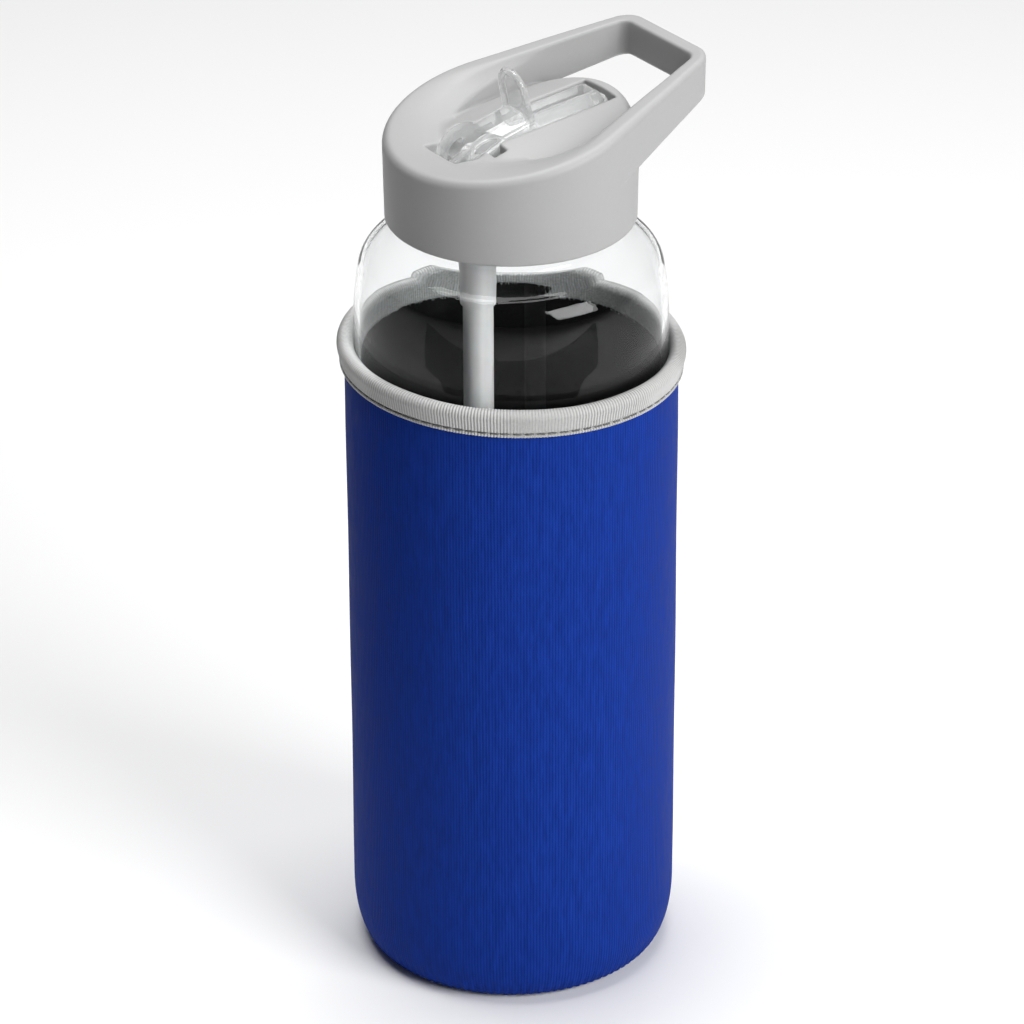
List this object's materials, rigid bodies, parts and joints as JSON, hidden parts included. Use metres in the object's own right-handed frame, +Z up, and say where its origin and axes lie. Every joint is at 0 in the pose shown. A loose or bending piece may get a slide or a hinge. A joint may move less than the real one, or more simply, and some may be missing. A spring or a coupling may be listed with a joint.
{
  "type": "glass water bottle with sleeve",
  "caption": "Cylindrical glass water bottle in a bound neoprene sleeve, with a screw lid, carry loop, flip spout and straw.",
  "frame": {"origin": "centre of the sleeve's flat underside, where the bottle stands", "axes": "+Z up along the bottle's axis; +X towards the carry loop's bar; +Y across the spout's pivot"},
  "size_m": [0.0877, 0.0834, 0.231],
  "materials": {
    "sleeve_cloth": "blue knit-faced neoprene",
    "lining_cloth": "black knit lining",
    "sleeve_thread": "polyester thread",
    "binding_tape": "ribbed grosgrain tape",
    "binding_thread": "polyester thread",
    "clear_glass": "clear borosilicate",
    "silicone": "translucent white silicone",
    "lid_plastic": "soft-touch grey",
    "collar_plastic": "natural polypropylene",
    "socket_plastic": "frosted polyethylene",
    "straw_plastic": "frosted polyethylene",
    "spout_plastic": "clear copolyester"
  },
  "bodies": {
    "sleeve": {"sleeve_cover": "sleeve_cloth", "sleeve_lining": "lining_cloth", "base_disc": "sleeve_cloth", "base_lining": "lining_cloth", "base_seam": "sleeve_thread", "side_seam": "sleeve_thread", "rim_binding": "binding_tape", "binding_stitch": "binding_thread"},
    "bottle": {"glass_bottle": "clear_glass"},
    "gasket": {"lid_gasket": "silicone"},
    "lid": {"lid_shell": "lid_plastic", "thread_collar": "collar_plastic", "spout_seal": "silicone", "straw_socket": "socket_plastic", "vent_valve": "silicone", "straw": "straw_plastic"},
    "spout": {"spout": "spout_plastic"}
  },
  "joints": [
    {"name": "bottle_lift", "type": "slide", "parent": "sleeve", "child": "bottle", "axis": [0, 0, 1], "range_m": [0, 0.165]},
    {"name": "lid_rise", "type": "slide", "parent": "bottle", "child": "gasket", "axis": [0, 0, 1], "range_m": [0, 0.00371]},
    {"name": "lid_turn", "type": "hinge", "parent": "gasket", "child": "lid", "pos_m": [0, 0, 0.2], "axis": [0, 0, 1], "range_deg": [0, 370]},
    {"name": "spout_flip", "type": "hinge", "parent": "lid", "child": "spout", "pos_m": [-0.0095, 0, 0.2096], "axis": [0, -1, 0], "range_deg": [0, 90]}
  ],
  "couplings": [
    {"joint": "lid_rise", "follows": "lid_turn", "m_per_rad": 0.00057296}
  ]
}
